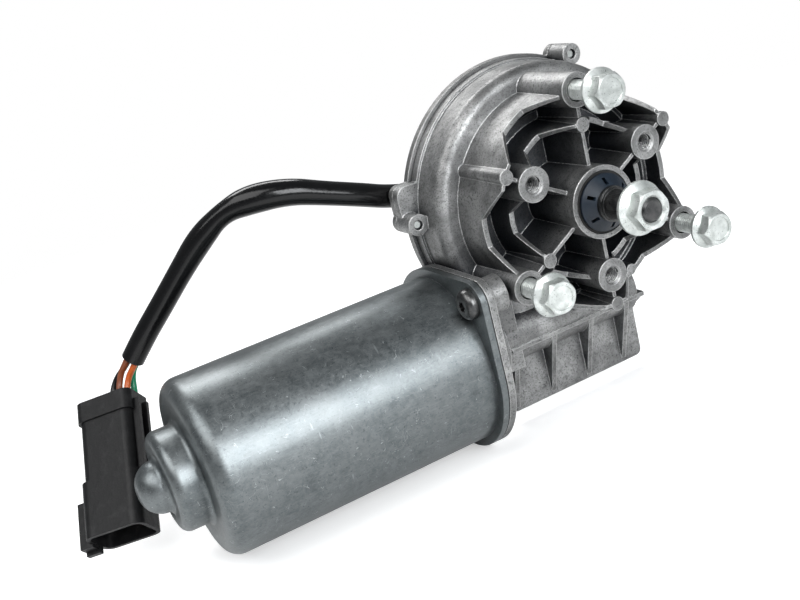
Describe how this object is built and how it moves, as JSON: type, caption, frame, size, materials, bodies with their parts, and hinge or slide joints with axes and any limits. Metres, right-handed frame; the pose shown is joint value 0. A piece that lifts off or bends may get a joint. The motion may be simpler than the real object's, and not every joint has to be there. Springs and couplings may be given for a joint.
{
  "type": "wiper motor",
  "caption": "Two-speed wiper motor: worm gearbox with ribbed mounting face and threaded output shaft, drawn steel motor can, park switch and harness with a sealed plug.",
  "frame": {"origin": "on the output shaft's axis, in the plane of the mounting boss faces", "axes": "-Y along the output shaft to its nut, +Z from the motor's axis up to the output shaft, -X along the motor can to its tail"},
  "size_m": [0.2944, 0.1581, 0.1581],
  "materials": {
    "cast_aluminium": "die cast, rough",
    "cover_aluminium": "die cast",
    "gasket_rubber": "matt",
    "flange_paper": "matt",
    "zinc_steel": "zinc plated",
    "shaft_steel": "oiled, knurled",
    "can_zinc": "zinc plated, mottled",
    "cap_plastic": "matt",
    "seal_rubber": "matt",
    "bronze": "sintered, oiled",
    "contact_brass": "polished",
    "bright_steel": "ground",
    "laminated_steel": "stacked sheet",
    "copper_winding": "varnished copper",
    "copper_bars": "turned copper",
    "ferrite": "matt ceramic",
    "wheel_plastic": "greased",
    "board_plastic": "matt",
    "carbon": "matt graphite",
    "spring_steel": "bright",
    "connector_plastic": "moulded",
    "lock_plastic": "moulded",
    "connector_rubber": "matt",
    "pin_metal": "tinned",
    "sleeve_black": "glossy",
    "wire_brown": "glossy",
    "wire_black": "glossy",
    "wire_orange": "glossy",
    "wire_green": "glossy"
  },
  "bodies": {
    "gearbox": {"gear_housing": "cast_aluminium", "back_cover": "cover_aluminium", "cover_gasket": "gasket_rubber", "cover_screws": "zinc_steel", "output_seal": "seal_rubber", "front_bush": "bronze", "rear_bush": "bronze", "mounting_bolts": "zinc_steel", "thrust_washer": "bright_steel", "switch_plate": "board_plastic", "contact_fingers": "contact_brass", "motor_can": "can_zinc", "flange_gasket": "flange_paper", "flange_screws": "zinc_steel", "field_magnets": "ferrite", "magnet_clips": "spring_steel", "bearing_outer_ring": "bright_steel", "end_bush": "bronze", "thrust_screw": "bright_steel", "tail_bush": "bronze", "tail_bush_clip": "spring_steel", "tail_thrust_pad": "board_plastic", "brush_plate": "board_plastic", "brush_high": "carbon", "spring_common": "spring_steel", "spring_low": "spring_steel", "spring_high": "spring_steel", "brush_holders": "contact_brass", "cable_sleeve": "sleeve_black", "brown_wire": "wire_brown", "black_wire": "wire_black", "orange_wire": "wire_orange", "green_wire": "wire_green", "grommet": "gasket_rubber", "connector_body": "connector_plastic", "connector_pins": "pin_metal", "wedge_lock": "lock_plastic", "connector_seal": "connector_rubber", "inner_leads": "wire_black", "brush_leads": "wire_brown"},
    "output": {"output_shaft": "shaft_steel", "output_nut": "zinc_steel", "retaining_ring": "shaft_steel", "dust_cap": "cap_plastic", "wheel_hub": "bright_steel", "worm_wheel": "wheel_plastic", "contact_disc": "contact_brass", "shaft_clip": "spring_steel"},
    "armature": {"armature_shaft": "bright_steel", "armature_core": "laminated_steel", "armature_winding": "copper_winding", "commutator": "copper_bars", "bearing_inner_ring": "bright_steel", "bearing_balls": "bright_steel"},
    "common_brush": {"brush_common": "carbon"},
    "low_brush": {"brush_low": "carbon"}
  },
  "joints": [
    {"name": "output_spin", "type": "hinge", "parent": "gearbox", "child": "output", "pos_m": [0, 0, 0], "axis": [0, 1, 0], "continuous": true},
    {"name": "armature_spin", "type": "hinge", "parent": "gearbox", "child": "armature", "pos_m": [0, 0.042, -0.056], "axis": [1, 0, 0], "continuous": true},
    {"name": "low_brush_slide", "type": "slide", "parent": "gearbox", "child": "low_brush", "axis": [0, 0, 1], "range_m": [0, 0.003], "stiffness_N_per_m": 300, "springref_m": -0.01, "deforming": ["spring_low"]},
    {"name": "common_brush_slide", "type": "slide", "parent": "gearbox", "child": "common_brush", "axis": [0, 0, -1], "range_m": [0, 0.003], "stiffness_N_per_m": 300, "springref_m": -0.01, "deforming": ["spring_common"]}
  ],
  "couplings": [
    {"joint": "armature_spin", "follows": "output_spin", "ratio": 56}
  ]
}
